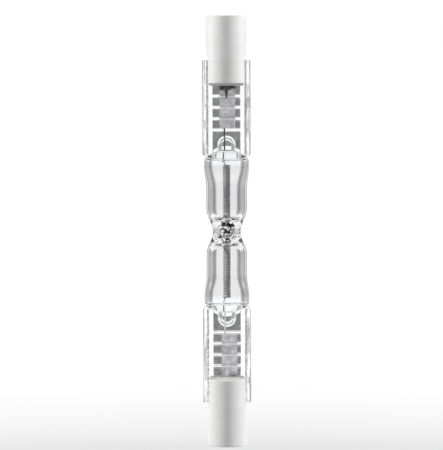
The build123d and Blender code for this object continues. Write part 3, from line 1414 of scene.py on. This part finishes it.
@dataclass
class SealedLeads:
    """The foil and the two wires that carry the current through one press seal."""

    end: End
    upper_shift: float = 0.0002
    lower_shift: float = 0.00045
    foil_width: float = 0.0029
    foil_thickness: float = 0.00006
    foil_edge: float = 0.00002
    feather: float = 0.00035
    wrinkle: float = 0.000025
    wrinkle_waves: tuple[Wave, ...] = ((1.0, 4100.0, 900.0, 0.0), (0.7, 2300.0, -2600.0, 1.3))
    foil_columns: int = 16
    foil_rows: int = 72
    point: float = 0.0014
    point_width: float = 0.00016
    point_steps: int = 10
    shaft_shares: Triple = (0.4, 0.7, 1.0)
    outer_segments: int = 28
    chamfer: float = 0.2
    inner_segments: int = 20
    crisp_angle: float = 32.0

    def foil(self) -> Piece:
        """Build the foil as a thin strip with feathered edges and faint wrinkles.

        Returns:
            The foil.
        """
        low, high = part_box(self.end.node("sealing_foil"))
        level = (low.y + high.y) / 2.0
        half = self.foil_width / 2.0
        shift = self.upper_shift if self.end is End.UPPER else self.lower_shift
        rings = []
        for j in range(self.foil_rows + 1):
            z = low.z + (high.z - low.z) * j / self.foil_rows
            front, back = [], []
            for k in range(self.foil_columns + 1):
                x = -half + self.foil_width * k / self.foil_columns
                share = min(1.0, (half - abs(x)) / self.feather)
                thick = between(self.foil_edge, self.foil_thickness, share) / 2.0
                y = level + self.wrinkle * ripple(self.wrinkle_waves, z, x) * (abs(x) / half)
                front.append(Vector((x + shift, y - thick, z)))
                back.append(Vector((x + shift, y + thick, z)))
            rings.append(front + back[::-1])
        return loft(self.end.node("thin_foil"), rings)

    def outer_wire(self) -> Piece:
        """Build the thick outer wire, cut to a wedge at the foil.

        Returns:
            The wire.
        """
        low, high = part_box(self.end.node("outer_lead"))
        radius = (high.x - low.x) / 2.0
        start, stop = (low.z, high.z) if self.end is End.UPPER else (high.z, low.z)
        length = stop - start
        point_share = self.point / abs(length)
        shares = [point_share * k / self.point_steps for k in range(self.point_steps + 1)]
        rings = []
        for share in (*shares, *self.shaft_shares):
            limit = between(self.point_width / 2.0, radius, share / point_share)
            ring = circle(radius, start + length * share, self.outer_segments)
            for spot in ring:
                spot.x = min(max(spot.x, -limit), limit)
            rings.append(ring)
        return loft(self.end.node("pointed_wire"), rings)

    def inner_wire(self) -> Piece:
        """Build the thin inner wire, with chamfered ends.

        Returns:
            The wire.
        """
        low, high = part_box(self.end.node("inner_lead"))
        radius = (high.x - low.x) / 2.0
        tip, end_radius = self.chamfer * radius, (1.0 - self.chamfer) * radius
        foot = [(0.0, low.z), (end_radius, low.z), (radius, low.z + tip)]
        top = [(radius, high.z - tip), (end_radius, high.z), (0.0, high.z)]
        wire = lathe(self.end.node("thin_wire"), foot + top, self.inner_segments)
        wire.data.transform(Matrix.Translation(((low.x + high.x) / 2.0, low.y + radius, 0.0)))
        return wire

    def dress(self, materials: dict[str, Material]) -> None:
        """Build the three pieces and give them their finishes, the upper wires a darkened copy of the lead
        finish as painted shade.

        Args:
            materials: The lamp's materials by name.
        """
        # The upper wires take the painted-shade copy of the lead finish.
        metal = materials["shaded_lead" if self.end is End.UPPER else "lead"]
        pieces = (
            (self.foil(), materials["foil"], "foil", "sealing_foil"),
            (self.outer_wire(), metal, "lead_wire", "outer_lead"),
            (self.inner_wire(), metal, "lead_wire", "inner_lead"),
        )
        for piece, material, slot, node in pieces:
            smooth(piece, self.crisp_angle)
            hand_over(piece, material, slot, self.end.node(node))


@dataclass
class EndCap:
    """A slotted ceramic cap with its contact and the cement that holds it on."""

    end: End
    edge: float = 0.00022
    slot_depth: float = 0.0051
    slot_width: float = 0.00283
    slot_overcut: float = 0.001
    slot_reach: float = 3.0
    recess_radius: float = 0.002
    seat_radius: float = 0.0018
    bore_radius: float = 0.0005
    lip: float = 0.0001
    button_edge_share: float = 0.2
    button_foot_share: float = 0.3
    dish_rim_share: float = 0.55
    dish_floor_share: float = 0.42
    dish_slope_share: float = 0.25
    dish_depth_share: float = 0.35
    edge_steps: int = 6
    lip_steps: int = 4
    foot_steps: int = 3
    segments: int = 128
    button_segments: int = 96
    crisp_angle: float = 30.0
    button_crisp_angle: float = 40.0

    def shell(self) -> Piece:
        """Build the ceramic cap with rounded edges, its recess, its bore and its slot.

        Returns:
            The cap.
        """
        low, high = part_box(self.end.node("ceramic_cap"))
        seat_low, seat_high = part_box(self.end.node("contact"))
        radius = (high.x - low.x) / 2.0
        length = high.z - low.z
        face_depth = high.z - seat_high.z if self.end is End.UPPER else seat_low.z - low.z
        seat_depth = face_depth + seat_high.z - seat_low.z
        edge, lip = self.edge, self.lip
        outline: Outline = [(self.bore_radius, 0.0)]
        outline += rounded_corner((radius - edge, edge), edge, 270.0, self.edge_steps)
        outline += rounded_corner((radius - edge, length - edge), edge, 0.0, self.edge_steps)
        outline += rounded_corner((self.recess_radius + lip, length - lip), lip, 90.0, self.lip_steps)
        outline += [
            (self.recess_radius, length - face_depth),
            (self.seat_radius, length - face_depth),
            (self.seat_radius, length - seat_depth),
            (self.bore_radius, length - seat_depth),
        ]
        rings = [circle(r, h, self.segments) for r, h in outline]
        shell = loft(self.end.node("slotted_cap"), rings, endless=True)
        carve(shell, self.slot_cutter(radius), Carve.CUT)
        self.end.stand(shell, low.z, high.z)
        smooth(shell, self.crisp_angle)
        return shell

    def slot_cutter(self, radius: float) -> Piece:
        """Build the block that cuts the slot.

        Args:
            radius: Outer radius of the cap.

        Returns:
            The block, wider than the cap and standing out below it.
        """
        block = bmesh.new()
        bmesh.ops.create_cube(block, size=1.0)
        depth = self.slot_depth + self.slot_overcut
        size = Vector((self.slot_reach * radius, self.slot_width, depth))
        bmesh.ops.scale(block, vec=size, verts=block.verts)
        bmesh.ops.translate(block, vec=(0.0, 0.0, self.slot_depth - depth / 2.0), verts=block.verts)
        return mesh_from(self.end.node("slot_cutter"), block)

    def button(self) -> Piece:
        """Build the contact as a button with rounded edges and a shallow dish.

        Returns:
            The contact.
        """
        low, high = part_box(self.end.node("contact"))
        radius = (high.x - low.x) / 2.0
        depth = high.z - low.z
        edge = self.button_edge_share * depth
        foot = self.button_foot_share * edge
        outline: Outline = [(0.0, 0.0)]
        outline += rounded_corner((radius - foot, foot), foot, 270.0, self.foot_steps)
        outline += rounded_corner((radius - edge, depth - edge), edge, 0.0, self.edge_steps)
        outline += [
            (self.dish_rim_share * radius, depth),
            (self.dish_floor_share * radius, depth - self.dish_slope_share * edge),
            (0.0, depth - self.dish_depth_share * edge),
        ]
        button = lathe(self.end.node("contact_button"), outline, self.button_segments)
        self.end.stand(button, low.z, high.z)
        smooth(button, self.button_crisp_angle)
        return button

    def dress(self, materials: dict[str, Material]) -> None:
        """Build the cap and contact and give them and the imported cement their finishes.

        Args:
            materials: The lamp's materials by name.
        """
        hand_over(self.shell(), materials["ceramic"], "ceramic", self.end.node("ceramic_cap"))
        hand_over(self.button(), materials["plating"], "contact_metal", self.end.node("contact"))
        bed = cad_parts[self.end.node("cement")]
        bed.data.materials.clear()
        bed.data.materials.append(materials["cement"])
        log.info("%s: kept as packed, in %s", bed.name, materials["cement"].name)


@dataclass
class Studio:
    """The pale floor, soft light and camera of the photograph."""

    eye: Triple = (-0.00095, -0.366, 0.0594)
    aim_height: float = 0.04018
    lens: float = 161.2
    sensor: float = 36.0
    roll: float = -0.2
    light_distance: float = 0.5
    light_height: float = 0.8
    side_width: float = 0.1
    side_power: float = 5.1
    fill_width: float = 0.3
    fill_power: float = 1.2
    ambient: float = 0.2
    room_tone: RoomTone = RoomTone()
    floor_size: float = 6.0
    floor_white: float = 1.065
    floor_shade: float = 0.32
    floor_edge: float = -0.016
    floor_fade: float = 0.055
    floor_spread: float = 0.14
    floor_paint: float = 0.07
    floor_drop: float = 0.02
    extras: list[Piece] = field(default_factory=list)

    def __post_init__(self) -> None:
        """Make the tone of the room, which the floor and the surroundings share."""
        self.room = self.room_tone.group()

    def camera(self) -> None:
        """Set up the camera at the photograph's angle."""
        view = bpy.data.cameras.new("photo_view")
        view.lens = self.lens
        view.sensor_width = self.sensor
        eye = bpy.data.objects.new("photo_view", view)
        eye.location = self.eye
        aim = Vector((self.eye[0], 0.0, self.aim_height)) - Vector(self.eye)
        roll = Matrix.Rotation(math.radians(self.roll), 3, "Z")
        eye.rotation_euler = (aim.to_track_quat("-Z", "Y").to_matrix() @ roll).to_euler()
        bpy.context.scene.collection.objects.link(eye)
        bpy.context.scene.camera = eye

    def soft_light(self, name: str, turn: float, width: float, power: float) -> None:
        """Put an upright soft light beside the lamp.

        Args:
            name: Name of the light.
            turn: Angle round the lamp in degrees, with 0 at the right.
            width: Width of the light.
            power: Power of the light.
        """
        light = bpy.data.lights.new(name, "AREA")
        light.shape = "RECTANGLE"
        light.size = width
        light.size_y = self.light_height
        light.energy = power
        lamp = bpy.data.objects.new(name, light)
        angle, reach = math.radians(turn), self.light_distance
        lamp.location = (reach * math.cos(angle), reach * math.sin(angle), self.aim_height)
        lamp.rotation_euler = (math.pi / 2.0, 0.0, angle + math.pi / 2.0)
        lamp.visible_transmission = False
        lamp.visible_glossy = False
        bpy.context.scene.collection.objects.link(lamp)
        self.extras.append(lamp)

    def soft_lights(self) -> None:
        """Put a strip on each side and a wider, weaker fill in front and behind."""
        for turn in (0.0, 180.0):
            self.soft_light("side_strip", turn, self.side_width, self.side_power)
        for turn in (90.0, 270.0):
            self.soft_light("soft_fill", turn, self.fill_width, self.fill_power)

    def seen_tone(self, direction: Wire, plain: Any) -> Wire:
        """Give the tone a ray meets: plain from the camera, dim from matt surfaces, else the room's.

        Args:
            direction: Direction that the ray goes in.
            plain: Tone for the camera.

        Returns:
            The tone.
        """
        sheet = direction.sheet
        room = sheet.out("ShaderNodeGroup", {"Direction": direction}, node_tree=self.room)
        rays = sheet.wires("ShaderNodeLightPath")
        return rays["Is Camera Ray"].choose(rays["Is Diffuse Ray"].choose(room, self.ambient), plain)

    def floor(self) -> None:
        """Lay a pale floor with painted shade, deepest just in front of the lamp and fading to white with
        distance, which keeps the lamp's shadow.
        """
        form = bmesh.new()
        bmesh.ops.create_grid(form, x_segments=1, y_segments=1, size=self.floor_size)
        ground = mesh_from("pale_floor", form)
        material, sheet = NodeSheet.for_material("pale_floor")
        place = sheet.place()
        x, y, _ = place.axes()
        # Painted shade in the floor's glow: darkest along a band just in front of the lamp, fading away
        # from it and to each side.
        fall = (abs(y - self.floor_edge) / -self.floor_fade).math("EXPONENT")
        beside = x / self.floor_spread
        spread = (beside * beside * -1.0).math("EXPONENT")
        tone = fall * spread * -self.floor_shade + (self.floor_white - self.floor_paint)
        drop = {0: place, 1: (0.0, 0.0, -self.floor_drop)}
        seen = self.seen_tone(sheet.out("ShaderNodeVectorMath", drop, operation="ADD"), tone)
        glow = sheet.out("ShaderNodeEmission", {"Color": seen, "Strength": 1.0})
        paint = sheet.out("ShaderNodeBsdfDiffuse", {"Color": (*[self.floor_paint] * 3, 1.0)})
        both = sheet.out("ShaderNodeAddShader", {0: glow, 1: paint})
        sheet.add("ShaderNodeOutputMaterial", {"Surface": both})
        material.cycles.emission_sampling = "NONE"
        ground.data.materials.append(material)
        self.extras.append(ground)

    def surroundings(self) -> None:
        """Make the white backdrop, with greyer corners of the room for what the glass bends to."""
        world = bpy.data.worlds.new("studio_room")
        world.use_nodes = True
        world.cycles.sampling_method = "NONE"
        bpy.context.scene.world = world
        sheet = NodeSheet(world.node_tree)
        seen = self.seen_tone(sheet.out("ShaderNodeTexCoord", pick="Generated"), 1.0)
        sky = sheet.out("ShaderNodeBackground", {"Color": seen, "Strength": 1.0})
        sheet.add("ShaderNodeOutputWorld", {"Surface": sky})

    def set_up(self) -> None:
        """Set up the whole studio."""
        bpy.context.scene.view_settings.view_transform = "Standard"
        self.camera()
        self.soft_lights()
        self.floor()
        self.surroundings()
        log.info("studio: floor, four soft lights and camera")


def main() -> None:
    """Build every piece of the lamp in order and the studio round it."""
    logging.basicConfig(level=logging.INFO, format="%(name)s: %(message)s")
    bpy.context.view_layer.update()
    envelope = QuartzEnvelope.from_frame()
    envelope.dress()
    Filament().dress()
    finishes = {
        "ceramic": CERAMIC,
        "cement": CEMENT,
        "plating": PLATING,
        "lead": DRAWN_LEAD,
        "shaded_lead": SHADED_LEAD_COPY,
        "foil": replace(FOIL, panels=envelope.panels),
    }
    materials = {name: finish.material() for name, finish in finishes.items()}
    for end in End:
        SealedLeads(end).dress(materials)
        EndCap(end).dress(materials)
    Studio().set_up()


if __name__ == "__main__":
    main()
